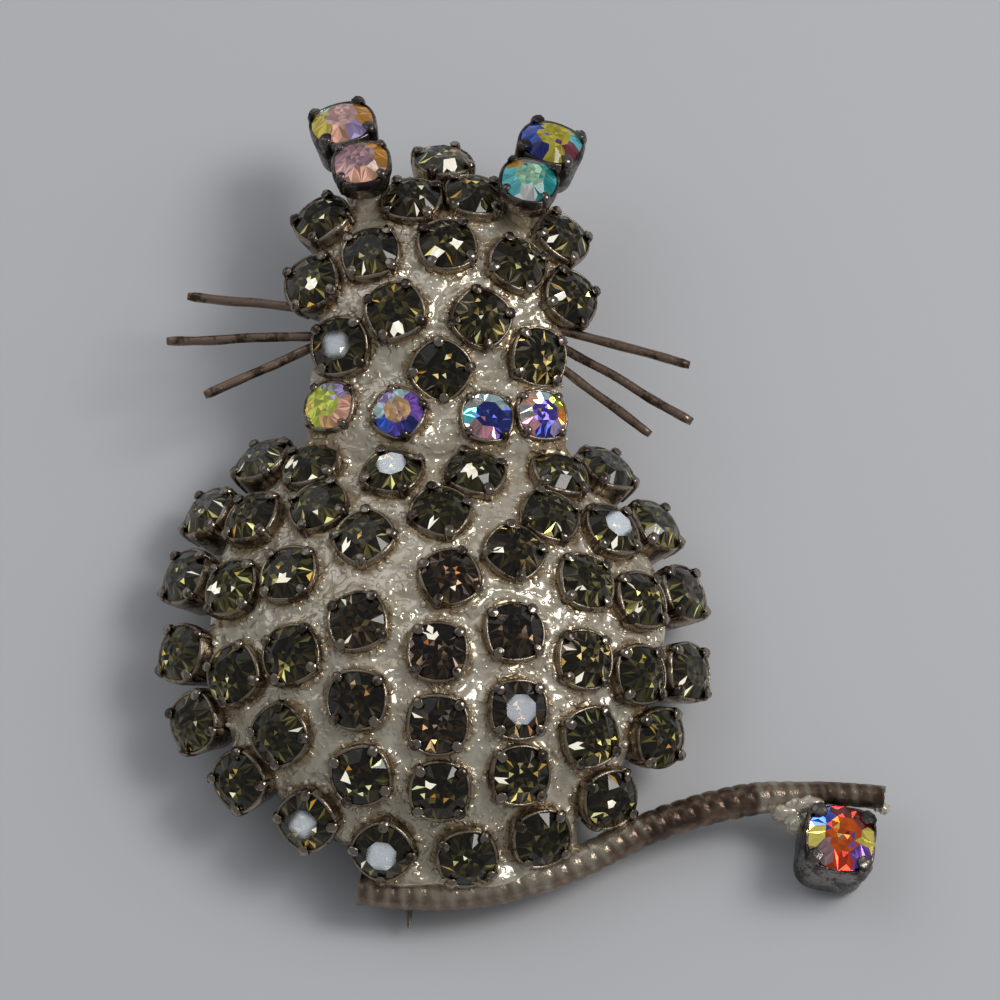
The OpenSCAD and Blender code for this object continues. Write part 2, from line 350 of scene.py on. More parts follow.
# Each worn metal: its clean and its stained colour, the noise above which stain takes over, its
# roughness and how much grain and dirt add to it, and the depth and size of its bumps in mm
METALS = {
    "stamped_cups": ((0.42, 0.35, 0.27), (0.12, 0.085, 0.055), 0.5, 0.24, 0.16, 0.04, 0.3),
    "claws": ((0.4, 0.34, 0.28), (0.1, 0.075, 0.06), 0.46, 0.12, 0.12, 0.03, 0.3),
    "whisker_wire": ((0.36, 0.26, 0.2), (0.1, 0.07, 0.05), 0.48, 0.28, 0.2, 0.03, 0.2),
    "dark_tail_cup": ((0.26, 0.23, 0.21), (0.07, 0.06, 0.06), 0.45, 0.18, 0.2, 0.04, 0.4),
    "pin_steel": ((0.32, 0.29, 0.26), (0.12, 0.1, 0.08), 0.5, 0.35, 0.2, 0.02, 0.2),
}
worn_metals = [metal(name, *row) for name, row in METALS.items()]
cup_metal, claw_metal, whisker_metal, dark_metal, pin_metal = worn_metals
print(len(worn_metals), "worn metals")

# %% [markdown]
# ## Solder and tail wire
# These two change from place to place for a reason: solder is glossier and browner beside a cup, and
# the tail is lighter where solder covers it and where highlights are painted on its ridges' tops and
# its end. So each mesh carries an attribute that says where, and its finish adds that to the noise.


# %% Solder and tail finishes
def solder_finish():
    """Satin beige solder; beside a cup, as its attribute says, it is pimpled, glossy and partly amber."""
    g = Graph("solder")
    edge = g.add("ShaderNodeAttribute", {"attribute_name": "edge"})[2]
    cloud, lumps, pimples = g.noise(1.3, 3.0), g.noise(0.6, 0.3), g.noise(0.3, 0.0)
    amber = (cloud * 0.8 + edge * 0.3).between(0.5, 0.66) * 0.8
    dots = pimples.between(0.5, 0.7) * (edge * 0.7 + 0.3)
    shade = g.mix(cloud.between(0.35, 0.6), (0.64, 0.565, 0.44, 1), (0.78, 0.715, 0.59, 1))
    return g.finish(
        Base_Color=g.mix(amber, shade, (0.36, 0.25, 0.13, 1)),
        Metallic=0.6,
        Roughness=0.23 - dots * 0.08,
        Normal=g.bump(lumps + dots * 0.5, 0.18),
    )


def tail_finish():
    """Brown tarnished wire; its attribute says where solder covers it and where highlights are painted on the
    ridges' tops and the end.
    """
    g = Graph("tail_wire")
    solder_and_highlight = g.add("ShaderNodeAttribute", {"attribute_name": "solder_and_highlight"})[2]
    cloud, grain = g.noise(0.9, 3.0), g.noise(0.18, 2.0)
    brown = g.mix(cloud.between(0.4, 0.6), (0.23, 0.16, 0.115, 1), (0.1, 0.065, 0.05, 1))
    # The wire turns pale where solder covers it and where a highlight is painted.
    solder_and_highlight_mix = (solder_and_highlight + cloud * 0.5 - 0.25).between(0.2, 0.7)
    return g.finish(
        Base_Color=g.mix(solder_and_highlight_mix, brown, (0.58, 0.5, 0.39, 1)),
        Metallic=0.85,
        Roughness=0.28 - solder_and_highlight_mix * 0.06 + grain.between(0.4, 0.7) * 0.1,
        Normal=g.bump(grain, 0.03),
    )


solder_metal = solder_finish()
tail_metal = tail_finish()
print("two finishes that follow their meshes")

# %% [markdown]
# ## Lumps
# Solder has no straight lines. Blender's noise textures only serve materials and modifiers, so a smooth
# random height is worked out here from a lattice of random numbers, joined by a curve that is level at
# each lattice point. The same sum then serves the solder's height and edge, and the wires' bends.


# %% Lumps
LATTICE = 64


def lattice_noise(x, y, size, seed):
    """Random heights from -1 to 1 on a lattice of that size, blended smoothly between its points."""
    table = np.random.default_rng(seed).uniform(-1, 1, (LATTICE, LATTICE))
    u, v = x / size + LATTICE / 2, y / size + LATTICE / 2
    i, j = np.floor(u).astype(int), np.floor(v).astype(int)
    s, t = u - i, v - j
    s, t = s * s * (3 - 2 * s), t * t * (3 - 2 * t)
    i, j, k, m = i % LATTICE, j % LATTICE, (i + 1) % LATTICE, (j + 1) % LATTICE
    a, b, c, d = table[i, j], table[k, j], table[i, m], table[k, m]
    return (a * (1 - s) + b * s) * (1 - t) + (c * (1 - s) + d * s) * t


def smoothstep(low, high, value):
    """0 below low, 1 above high, and smooth in between."""
    t = np.clip((value - low) / (high - low), 0, 1)
    return t * t * (3 - 2 * t)


print("lumps at four places:", lattice_noise(np.arange(4.0), np.zeros(4), 1.3, 1).round(2))

# %% [markdown]
# ## The height of the solder
# Seen from above, the solder is a sheet over two domes and the arch of the neck between them. It could
# be sculpted by hand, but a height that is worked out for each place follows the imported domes. It is
# the largest of the three heights, blended where they meet, less a drop under the girdles.


# %% Solder height
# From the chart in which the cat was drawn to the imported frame, in mm
CHART = np.array([-4.526, -8.356])
# Middles and radii of the domes and of the neck's arch
BODY_MID, BODY_R = np.array([-0.2, 1.0, -9.3]), 18.5
HEAD_MID, HEAD_R = np.array([-0.4, 18.5, -5.6]), 13.8
NECK_MID, NECK_R = np.array([0.2, 12.3, -8.7]), 16.0
# The drop of the solder at a dome's middle, and how much more it is at the edge
BODY_DROP, BODY_EDGE_DROP, HEAD_DROP, HEAD_EDGE_DROP, NECK_DROP = 0.42, 0.45, 0.5, 0.3, 0.4
# The outline: two circles, the neck's box with its half sizes, and the web that holds the tail
BODY_AT, BODY_OUT = (0.1, 1.1), 11.7
HEAD_AT, HEAD_OUT = (0.4, 19.6), 6.7
NECK_AT, NECK_HALF = (0.2, 12.0), (6.5, 3.2)
WEB_AT, WEB_OUT, WEB_HALF, WEB_TOP = (0.6, 5.9), 18.1, (2.2, 5.0), -8.0
UNEVEN = (0.25, 1.6, 5)  # height, size and seed of the outline's waves
BLEND = 0.25


def away(x, y, place):
    """Distance of a place of the chart from another."""
    return np.hypot(x - place[0], y - place[1])


def dome_height(x, y, mid, radius):
    """Height of a dome above a place of the chart."""
    return mid[2] + np.sqrt(np.maximum(radius**2 - (x - mid[0]) ** 2 - (y - mid[1]) ** 2, 4.0))


def outline(x, y):
    """Distance outside the outline, negative inside: the least of its four shapes' distances, made uneven."""
    body = away(x, y, BODY_AT) - BODY_OUT
    head = away(x, y, HEAD_AT) - HEAD_OUT
    neck = np.maximum(np.abs(x - NECK_AT[0]) - NECK_HALF[0], np.abs(y - NECK_AT[1]) - NECK_HALF[1])
    strip = np.maximum(np.abs(x - WEB_HALF[0]) - WEB_HALF[1], y - WEB_TOP)
    web = np.maximum(away(x, y, WEB_AT) - WEB_OUT, strip)
    waves = UNEVEN[0] * lattice_noise(x, y, *UNEVEN[1:])
    return np.minimum(np.minimum(body, head), np.minimum(neck, web)) + waves


def sheet_height(x, y):
    """The height of the solder before lumps: the logarithm of the sum of the three heights' powers of e."""
    body_edge = smoothstep(6.5, 12.5, away(x, y, BODY_AT))
    body = dome_height(x, y, BODY_MID, BODY_R - BODY_DROP - BODY_EDGE_DROP * body_edge)
    head_edge = smoothstep(4, 8, away(x, y, HEAD_AT))
    head = dome_height(x, y, HEAD_MID, HEAD_R - HEAD_DROP - HEAD_EDGE_DROP * head_edge)
    arch = NECK_MID[2] + np.sqrt((NECK_R - NECK_DROP) ** 2 - np.clip(x - NECK_MID[0], -14, 14) ** 2)
    arch = arch - 3.0 * smoothstep(1.4, 5.0, np.abs(y - NECK_MID[1]))
    return BLEND * np.log(np.exp(body / BLEND) + np.exp(head / BLEND) + np.exp(arch / BLEND))


for part, place in (("body", BODY_AT), ("head", HEAD_AT), ("neck", NECK_AT)):
    print("the solder of the", part, "is", sheet_height(*np.array(place)).round(2), "mm high")

# %% [markdown]
# ## The solder sheet
# A flat grid over the chart could be cut by a Boolean, which leaves slivers. Here the cells outside the
# outline are left out, and the corners at the edge are pulled onto it. The sheet then rises a little
# where it wets a cup's wall, and sinks out of sight inside the cups. A lower copy and a rim close it.


# %% Cells of the sheet
GRID, NUDGE = 0.17, 0.02
SHEET_X, SHEET_Y = (-13, 13.5), (-12, 28)


def flat_cells():
    """Places of the chart and the quads between them. A corner at the edge goes down the outline's slope."""
    xs, ys = np.arange(*SHEET_X, GRID), np.arange(*SHEET_Y, GRID)
    x, y = np.meshgrid(xs, ys, indexing="ij")
    keep = outline(x, y) < 0
    cells = grid_faces(len(xs), len(ys))
    cells = cells[keep.ravel()[cells].all(1)]
    used, cells = np.unique(cells, return_inverse=True)
    cells = cells.reshape(-1, 4)
    x, y = x.ravel()[used], y.ravel()[used]
    at_edge = np.bincount(cells.ravel(), minlength=len(x)) < 4
    for _ in range(3):
        step = outline(x, y)
        dx = (outline(x + NUDGE, y) - step) / NUDGE
        dy = (outline(x, y + NUDGE) - step) / NUDGE
        pull = np.where(at_edge, step / np.maximum(dx**2 + dy**2, 0.3), 0)
        x, y = x - pull * dx, y - pull * dy
    return x, y, cells


# %% Wet places
# The wall's distance outside the stone, how far from it the solder is wet, and how much higher it is there
WALL_OUT, WET_REACH, WET_RISE = 0.16, 0.28, 0.16
# How near a cup a place is for that, above or below and outwards, and where and how deep it is sunk
NEAR_UP, NEAR_OUT, SUNK_OUT, SUNK_DROP = 1.6, 1.2, -0.05, 0.1


def wetted(x, y, top, flat):
    """How wet each place is, 1 at a cup's wall and less away from it as a bell curve, and the heights
    with the places inside a cup sunk."""
    place = np.stack([x + CHART[0], y + CHART[1], top], -1)
    wet = np.zeros(len(x))
    for middle, up, radius in zip(all_seats.middle, all_seats.up, all_seats.radius):
        way = place - middle
        rise = way @ up
        out = np.linalg.norm(way - rise[:, None] * up, axis=1) - radius - WALL_OUT
        near = (np.abs(rise) < NEAR_UP) & (out < NEAR_OUT)
        wet = np.maximum(wet, np.where(near, np.exp(-((np.maximum(out, 0) / WET_REACH) ** 2)), 0))
        top = np.where(near & (out < SUNK_OUT), np.minimum(top, flat - SUNK_DROP), top)
    return wet, top


# %% Solder sheet
SHEET_T = 1.2
BIG_LUMPS, SMALL_LUMPS = (0.13, 1.3, 1), (0.11, 0.6, 2)  # height, size and seed


def solder_sheet():
    """Points and faces of the closed sheet, and how wet it is. A side of only one cell is at the rim."""
    x, y, cells = flat_cells()
    flat = sheet_height(x, y)
    lumps = sum(high * lattice_noise(x, y, size, seed) for high, size, seed in (BIG_LUMPS, SMALL_LUMPS))
    wet, top = wetted(x, y, flat + lumps, flat)
    count = len(x)
    upper = np.stack([x + CHART[0], y + CHART[1], top + WET_RISE * wet], -1)
    lower = np.stack([x + CHART[0], y + CHART[1], flat - SHEET_T], -1)
    sides = np.concatenate([cells[:, [k, (k + 1) % 4]] for k in range(4)])
    key = np.sort(sides, axis=1) @ np.array([count, 1])
    _, first, times = np.unique(key, return_index=True, return_counts=True)
    rim = sides[first[times == 1]]
    walls = np.stack([rim[:, 1], rim[:, 0], rim[:, 0] + count, rim[:, 1] + count], -1)
    faces = np.concatenate([cells, cells[:, ::-1] + count, walls])
    return np.concatenate([upper, lower]), faces, np.concatenate([wet, wet])


sheet_points, sheet_faces, sheet_wet = solder_sheet()
sheet_paint = {"edge": grey(sheet_wet)}
solder = make_piece("solder_sheet", sheet_points, [sheet_faces], solder_metal, paint=sheet_paint)
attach(solder, "root")
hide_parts("frame")

# %% [markdown]
# ## Beads of solder
# Solder that was fed in at a cup's foot stays there as small round beads. They could be scattered with
# Geometry Nodes, but one array of flattened balls is shorter. Each ball stands at the sheet's nearest
# point, so the beads follow its lumps.


# %% Beads
# Beads for each cup, their distance outside its stone, their height over its girdle and their radius
BEADS_EACH, BEAD_SEED = 9, 15
BEAD_OUT, BEAD_UP, BEAD_R = (0.25, 0.6), -0.4, (0.1, 0.21)
BALL_RINGS, BALL_AROUND = 7, 10


def bead_places():
    """Points of the sheet just outside the cups, and a radius for each."""
    rng = np.random.default_rng(BEAD_SEED)
    sheet = sheet_points[: len(sheet_points) // 2]
    turn = rng.uniform(0, 2 * np.pi, (all_seats.count, BEADS_EACH))
    out = all_seats.radius[:, None] + rng.uniform(*BEAD_OUT, turn.shape)
    wanted = all_seats.place(out * np.cos(turn), out * np.sin(turn), BEAD_UP + 0 * out)
    found = [np.linalg.norm(sheet[None] - w[:, None], axis=2) for w in wanted]
    spots = np.concatenate([sheet[d.argmin(1)][d.min(1) < 0.5] for d in found])
    way = spots[:, None] - all_seats.middle[None]
    rise = (way * all_seats.up[None]).sum(2)
    out = np.linalg.norm(way - rise[..., None] * all_seats.up[None], axis=2)
    clear = ((out > all_seats.radius + 0.3) | (np.abs(rise) > 1.5)).all(1)
    return spots[clear], rng.uniform(*BEAD_R, clear.sum())


def ball():
    """Points of a ball of radius 1, flattened to 0.7 of its height, ring by ring from below."""
    turn = np.linspace(0, 2 * np.pi, BALL_AROUND, endpoint=False)
    rise = np.linspace(-np.pi / 2, np.pi / 2, BALL_RINGS)[:, None]
    out, up = np.cos(rise), 0.7 * np.sin(rise)
    return np.stack([out * np.cos(turn), out * np.sin(turn), up + 0 * turn], -1)


bead_spots, bead_radius = bead_places()
bead_points = bead_spots[:, None, None] + bead_radius[:, None, None, None] * ball()
bead_faces = grid_faces(BALL_RINGS, BALL_AROUND, close_cols=True)[:, ::-1]
beads = make_piece(
    "solder_beads",
    bead_points.reshape(-1, 3),
    [many(bead_faces, len(bead_spots), BALL_RINGS * BALL_AROUND)],
    solder_metal,
)
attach(beads, "root")
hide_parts("frame")

# %% [markdown]
# ## Cups
# A cup is a shape turned about its stone's axis: a flat bottom, a wall that widens upwards, a thin
# rim and a floor. Between the claws the rim is pressed over the stone's edge, which makes the round
# stones look nearly square. A Screw modifier turns only round shapes, so the rings are worked out
# here, and the rim's place is a cosine with four waves. All cups are one array.


# %% Cups
SEAT_GAP, CUP_WALL, CUP_SEED = 0.05, 0.12, 17


def cup_points(seats, depth, around, square, foot):
    """Points of cups, ring by ring from the middle of the foot to the middle of the floor. foot is the foot's
    share of the rim's radius. A ring's radius is drawn out at the claws by a share that is a cosine of four
    waves, and between the claws the rim is pressed inwards and up by a random force on each side."""
    r, seat = seats.radius, seats.radius + SEAT_GAP
    rim = seat + CUP_WALL
    rings = [  # radius, height, and how much it is drawn out, pressed in and raised
        (0, -depth, 0, 0, 0),
        ((foot - 0.06) * rim, -depth, 1, 0, 0),
        (foot * rim, -depth + 0.12, 1, 0, 0),
        ((0.5 + 0.5 * foot) * rim, -0.55 * depth, 1, 0, 0),
        (rim, -0.5, 1, 0, 0),
        (rim, -0.06, 1, 0, 0),
        (rim - 0.04, 0, 1, 0.08, 0.08),
        (seat, -0.03, 0.3, 0.11, 0.09),
        (seat, -0.35, 0, 0, 0),
        (0.6 * r, -0.5, 0, 0, 0),
        (0, -0.55, 0, 0, 0),
    ]
    radius, height, drawn, pressed, raised = (
        np.stack([column + 0 * r for column in columns], 1)[..., None] for columns in zip(*rings)
    )
    turn = np.linspace(0, 2 * np.pi, around, endpoint=False)
    force = np.random.default_rng(CUP_SEED).uniform(0.35, 1.25, (seats.count, 4))
    between = force[:, (4 * turn / (2 * np.pi)).astype(int)] * (0.5 - 0.5 * np.cos(4 * turn)) ** 0.8
    out = radius * (1 + drawn * square * np.cos(4 * turn)) - pressed * between[:, None]
    return seats.place(out * np.cos(turn), out * np.sin(turn), height + raised * between[:, None])


def make_cups(name, seats, depth, material, around=32, square=0.02, foot=0.86):
    """Cups as one piece; each cup's grid is closed round, and both its poles are points drawn together."""
    points = cup_points(seats, depth, around, square, foot)
    rings = points.shape[1]
    faces = many(grid_faces(rings, around, close_cols=True)[:, ::-1], seats.count, rings * around)
    return make_piece(name, points.reshape(-1, 3), [faces], material)


small_seats = joined([body_seats, head_seats] + [special_seats[n] for n in SPECIAL[:4]])
ear_seats = joined([special_seats[n] for n in SPECIAL[4:8]])
tail_seat = special_seats["tail_stone"]
cups = make_cups("stone_cups", small_seats, np.where(small_seats.radius > 1.4, 2.1, 1.9), cup_metal)
ear_depth, tail_depth = np.array([1.5, 2.3, 1.5, 2.3]), np.array([2.88])
ear_cups = make_cups("ear_cups", ear_seats, ear_depth, dark_metal, around=40, square=0.03)
tail_cup = make_cups("tail_cup", tail_seat, tail_depth, dark_metal, around=48, square=0.08, foot=1.0)
for cup_piece in (cups, ear_cups, tail_cup):
    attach(cup_piece, "root")
    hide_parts("frame")

# %% [markdown]
# ## Claws
# Four claws rise from each cup and are pushed over the stone's edge. They could be a bevelled curve
# each, but there are 284. So a claw is a short tube swept along a line that rises and bends inwards,
# with rings that shrink to a rounded tip, and all of them are one array.


# %% Claws
CLAW_SIDES, CLAW_DRAWN, CLAW_TOP = 8, 0.25, 0.31


def make_claws(name, seats, size, material, low=-1.1):
    """Claws as one piece, from the height low. size is half a claw's width, and the path is drawn for one
    of CLAW_DRAWN. A point of a ring is the path's point, plus the ring's width times the cosine of its
    turn along the path's normal, and times the sine sideways."""
    rings = np.array(
        [  # out, up, and the ring's share of the width
            [0, low - 0.02, 0], [0, low, 0.5], [0.06, 0.4 * low, 0.95], [0.07, -0.02, 1], [0, 0.16, 1],
            [-0.13, 0.25, 0.9], [-0.26, 0.27, 0.62], [-0.3, 0.26, 0.2], [-0.31, 0.26, 0],
        ]
    )
    path, wide = rings[:, :2], rings[:, 2:]
    along = np.gradient(path, axis=0)
    out_way, up_way = unit(np.stack([along[:, 1], -along[:, 0]], -1)).T[:, :, None]
    turn = np.linspace(0, 2 * np.pi, CLAW_SIDES, endpoint=False)
    size = size[:, None, None, None]
    thick = 0.7 * size * wide * np.cos(turn)
    out = seats.radius[:, None, None, None] + 0.1 + size / CLAW_DRAWN * path[:, :1] + thick * out_way
    up = np.minimum(size / CLAW_DRAWN * path[:, 1:] + thick * up_way, CLAW_TOP)
    aside = size * wide * np.sin(turn)
    quarter = np.pi / 2 * np.arange(4)[:, None, None]
    c, s = np.cos(quarter), np.sin(quarter)
    points = seats.place(out * c - aside * s, out * s + aside * c, up + 0 * c)
    tube = grid_faces(len(rings), CLAW_SIDES, close_cols=True)[:, ::-1]
    faces = many(tube, seats.count * 4, len(rings) * CLAW_SIDES)
    return make_piece(name, points.reshape(-1, 3), [faces], material)


claws = make_claws("claws", small_seats, np.where(small_seats.radius > 1.4, 0.29, 0.23), claw_metal)
ear_claws = make_claws("ear_claws", ear_seats, np.array([0.25, 0.34, 0.25, 0.34]), dark_metal)
tail_claws = make_claws("tail_claws", tail_seat, np.array([0.42]), dark_metal, low=-1.5)
for claw_piece in (claws, ear_claws, tail_claws):
    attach(claw_piece, "root")
    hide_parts("frame")

# %% [markdown]
# ## The tail
# The tail is a beaded wire: a round section carried along two arcs that bend opposite ways, whose
# radius swells once per bead. An Array of beads on a curve would leave them as separate balls, where
# the real wire is one rolled piece with ridges, so the ridges are a wave in the radius.


# %% Sweep
def swept(line, side, up, radius):
    """A round section carried along a line: each ring's point is the line's point, plus the radius times the
    cosine of the turn along side and its sine along up. The ends are drawn to a point."""
    around = radius.shape[1]
    turn = np.linspace(0, 2 * np.pi, around, endpoint=False)
    ring = np.cos(turn)[None, :, None] * side[:, None] + np.sin(turn)[None, :, None] * up[:, None]
    points = line[:, None] + radius[:, :, None] * ring
    first, last = line[:1, None] + 0 * points[:1], line[-1:, None] + 0 * points[:1]
    points = np.concatenate([first, points, last])
    return points.reshape(-1, 3), grid_faces(len(points), around, close_cols=True)


def as_one(meshes):
    """Points and faces of several swept meshes of the same size, as one mesh."""
    step = len(meshes[0][0])
    faces = [mesh_faces + k * step for k, (_, mesh_faces) in enumerate(meshes)]
    return np.concatenate([points for points, _ in meshes]), [np.concatenate(faces)]


# %% Tail line
TAIL_Z, TAIL_PITCH, TAIL_BEADS = 2.3, 0.8, 34
TAIL_MID_1, TAIL_R_1, TAIL_FROM = np.array([-0.27, 6.15]), 18.42, np.radians(-98.2)
TAIL_R_2, TAIL_TURN = 22.3, np.radians(29.7)
TAIL_LONG_1 = TAIL_R_1 * (TAIL_TURN - np.pi / 2 - TAIL_FROM)
TAIL_MID_2 = TAIL_MID_1 + (TAIL_R_1 + TAIL_R_2) * np.array([np.sin(TAIL_TURN), -np.cos(TAIL_TURN)])


def tail_line(u):
    """Points and sideways directions of the tail's centre line, u mm from its left end, on one arc and
    then on the other: an arc's point is its middle plus its radius times the sideways direction."""
    a = TAIL_FROM + u / TAIL_R_1
    b = TAIL_TURN + np.pi / 2 - (u - TAIL_LONG_1) / TAIL_R_2
    first = (u < TAIL_LONG_1)[:, None]
    side = np.where(first, np.stack([np.cos(a), np.sin(a)], -1), -np.stack([np.cos(b), np.sin(b)], -1))
    place = np.where(first, TAIL_MID_1 + TAIL_R_1 * side, TAIL_MID_2 - TAIL_R_2 * side)
    flat = np.zeros(len(u))
    points = np.stack([place[:, 0] + CHART[0], place[:, 1] + CHART[1], flat + TAIL_Z], -1)
    return points, np.stack([side[:, 0], side[:, 1], flat], -1)


print("the tail's first arc is", TAIL_LONG_1.round(1), "mm long")

# %% Tail wire
TAIL_R, TAIL_END_R, TAIL_AROUND = 0.775, 0.585, 28
tail_u = np.linspace(-0.84, TAIL_BEADS * TAIL_PITCH - 0.25, 16 * TAIL_BEADS)
tail_points, tail_side = tail_line(tail_u)
u, turn = tail_u[:, None], np.linspace(0, 2 * np.pi, TAIL_AROUND, endpoint=False)[None, :]
ridge = np.abs(np.cos(np.pi * u / TAIL_PITCH + turn / 2)) ** 0.6

# Solder covers the wire beside the body and by the tail's cup, and its end gets a painted highlight on its
# upper side
upper = 0.5 - 0.5 * np.cos(turn - 0.3)
patchy = 0.5 + 0.5 * lattice_noise(u, turn, 1.4, 12)
by_body = smoothstep(1.0, 4, u) * (1 - smoothstep(12.5, 16, u)) * upper**0.7
by_cup = smoothstep(19.6, 21, u) * (1 - smoothstep(22.5, 24.5, u)) * (1 - 0.7 * upper)
end_highlight = smoothstep(23.5, 25, u) * (0.5 + 0.5 * np.sin(turn)) * patchy
cover = np.clip((by_body + by_cup) * (0.4 + patchy), 0, 1)

# The radius: thinner towards the end, ridged where no solder fills the grooves, and a little uneven
smooth_end = smoothstep(20.5, 23.5, u)
thinner = (TAIL_R - TAIL_END_R) * smoothstep(20, 23.2, u)
tail_rad = TAIL_R - thinner + 0.085 * ridge * (1 - 0.8 * cover) * (1 - 0.7 * smooth_end)
tail_rad = tail_rad + 0.05 * cover + 0.02 * lattice_noise(u, turn, 0.6, 9) + 0.02 * smooth_end

# The ridges' tops and the end's upper side are lightened below: painted highlights, besides the solder.
top = np.clip(np.sin(turn), 0, 1)
left = 0.3 * (1 - smoothstep(10, 17, u))
solder_and_highlight = np.clip(0.75 * cover + 0.25 * ridge**6 * top + left + 0.7 * end_highlight, 0, 1)
solder_and_highlight = np.concatenate([solder_and_highlight[:1], solder_and_highlight, solder_and_highlight[-1:]]).ravel()
UPWARDS = np.array([[0, 0, 1.0]])
wire_points, wire_faces = swept(tail_points, tail_side, UPWARDS + 0 * tail_side, tail_rad)
tail = make_piece("tail_wire", wire_points, [wire_faces], tail_metal, paint={"solder_and_highlight": grey(solder_and_highlight)})

# %% [markdown]
# ## Whiskers
# The whiskers are plain drawn wires, cut square and no longer quite straight. A cylinder would look
# too perfect, so each is a sweep whose line and radius wander a little.


# %% Whiskers
WHISKERS = np.array(
    [  # root and tip in the chart
        [[-5.2, 18.4], [-12.85, 19.3]], [[-5.2, 17.05], [-13.9, 16.75]], [[-4.7, 17.25], [-11.9, 13.8]],
        [[4.9, 17.9], [13.3, 15.5]], [[5.4, 17.25], [13.35, 12.3]], [[4.8, 16.8], [11.2, 11.6]],
    ]
)
WHISKER_Z, WHISKER_R, WHISKER_RINGS, WHISKER_AROUND = 5.3, 0.25, 24, 12


def whisker(root, tip, seed):
    """A whisker's points and faces: a straight line plus a slight bend sideways and up, and a cut end."""
    t = np.linspace(0, 1, WHISKER_RINGS)
    line = root + t[:, None] * (tip - root)
    along = unit((tip - root)[None])[0]
    side = np.array([along[1], -along[0]])
    sideways, up, swell = (lattice_noise(t * n, t * 0, 1.0, seed + k) for n, k in ((4, 0), (4, 50), (12, 90)))
    xy = line + 0.06 * sideways[:, None] * side + CHART
    points = np.stack([xy[:, 0], xy[:, 1], WHISKER_Z + 0.05 * up], -1)
    sides = np.array([[side[0], side[1], 0]]) + 0 * points
    radius = (WHISKER_R * (1 + 0.06 * swell))[:, None] + np.zeros((1, WHISKER_AROUND))
    radius[-1] *= 0.8
    return swept(points, sides, UPWARDS + 0 * points, radius)


whisker_meshes = [whisker(root, tip, 20 + k) for k, (root, tip) in enumerate(WHISKERS)]
whiskers = make_piece("whiskers", *as_one(whisker_meshes), whisker_metal)
for wire_piece in (tail, whiskers):
    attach(wire_piece, "root")
    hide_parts("frame")

# %% [markdown]
# ## Runs of solder
# Where the ears, the tail and its cup are joined on, solder lies in runs and blobs. Metaballs would
# flow together by themselves, but their surface can't be placed as closely. Each run is a round
# section of uneven radius carried along a short line, so it is another sweep.


# %% Solder runs
RUN_RINGS, RUN_AROUND, RUN_SEED = 26, 16, 3


def run_of_solder(line, radius, seed):
    """A blob or run: the section's radius grows from nothing, holds, and shrinks again, with lumps."""
    line = np.asarray(line, float)
    t = np.linspace(0, 1, RUN_RINGS)
    knots = np.linspace(0, 1, len(line))
    path = np.stack([np.interp(t, knots, line[:, k]) for k in range(3)], -1)
    path[:, :2] += CHART
    along = unit(np.gradient(path, axis=0))
    side = unit(np.cross(along, np.array([0.1, 0.2, 1.0])))
    up = np.cross(side, along)
    turn = np.linspace(0, 2 * np.pi, RUN_AROUND, endpoint=False)
    swell = np.sqrt(np.maximum(1 - np.abs(2 * t - 1) ** 3, 0.0))[:, None]
    lump = 1 + 0.28 * lattice_noise(t[:, None] * 6, np.cos(turn)[None] * 1.5 + seed, 1.0, seed)
    return swept(path, side, up, radius * swell * lump)


RUNS = [  # the line across, up and high, and the radius: three by the tail's cup, then two at each ear
    ([[17.3, -7.4, 2.1], [18.3, -7.9, 2.1], [18.9, -8.9, 1.9]], 0.7),
    ([[17.9, -7.5, 2.5], [18.8, -7.6, 2.6], [20.0, -7.5, 2.7]], 0.4),
    ([[22.5, -7.55, 2.2], [23.0, -7.65, 2.2], [23.35, -7.8, 2.1]], 0.3),
    ([[-3.9, 26.6, 6.9], [-3.5, 25.0, 6.4], [-3.3, 24.0, 5.2]], 0.95),
    ([[-4.7, 27.9, 4.9], [-3.9, 26.0, 5.2], [-3.3, 24.2, 4.8]], 0.95),
    ([[4.9, 25.4, 6.9], [4.7, 24.2, 6.3], [4.4, 23.2, 5.0]], 0.95),
    ([[5.9, 26.8, 4.9], [5.1, 25.1, 5.2], [4.4, 23.2, 4.8]], 0.95),
]
run_meshes = [run_of_solder(line, radius, RUN_SEED + k) for k, (line, radius) in enumerate(RUNS)]
runs = make_piece("solder_runs", *as_one(run_meshes), solder_metal)
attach(runs, "root")
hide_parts("frame")

# %% [markdown]
# ## Cut stones
# A chaton has an eight-sided table, facets of three sides down from it to the girdle and a foiled cone
# below. What makes it glitter is the far side of the cone seen through the top: every small patch
# there mirrors another part of the room. Real refraction would need many light paths and still be
# noisy at this size. So each facet is divided into patches, and each patch has two attributes: its
# tint, and the way its mirror faces. The material is a clear coat, flat as the facet, over foil that
# uses the patch's own mirror.
# Where a patch's tint says so, the patch also glows: a painted glint, not a lamp.


# %% Stone shape
# Shares of the girdle's radius: the table's radius and height, two rings in it, the girdle and the cone
TABLE_R, TABLE_UP, CROSS_R, STAR_R, GIRDLE_T, STONE_DEPTH = 0.56, 0.32, 0.19, 0.36, 0.07, 0.82


def circle(radius, height, count, first):
    """Points of a circle: its radius times the cosine and sine of equal turns from the first one."""
    turn = np.radians(first + 360 / count * np.arange(count))
    return np.stack([radius * np.cos(turn), radius * np.sin(turn), height + 0 * turn], -1)


def triangles(a, b, c):
    """Triangles from the numbers of their corners, where a single number serves them all."""
    return np.stack(np.broadcast_arrays(a, b, c), -1)


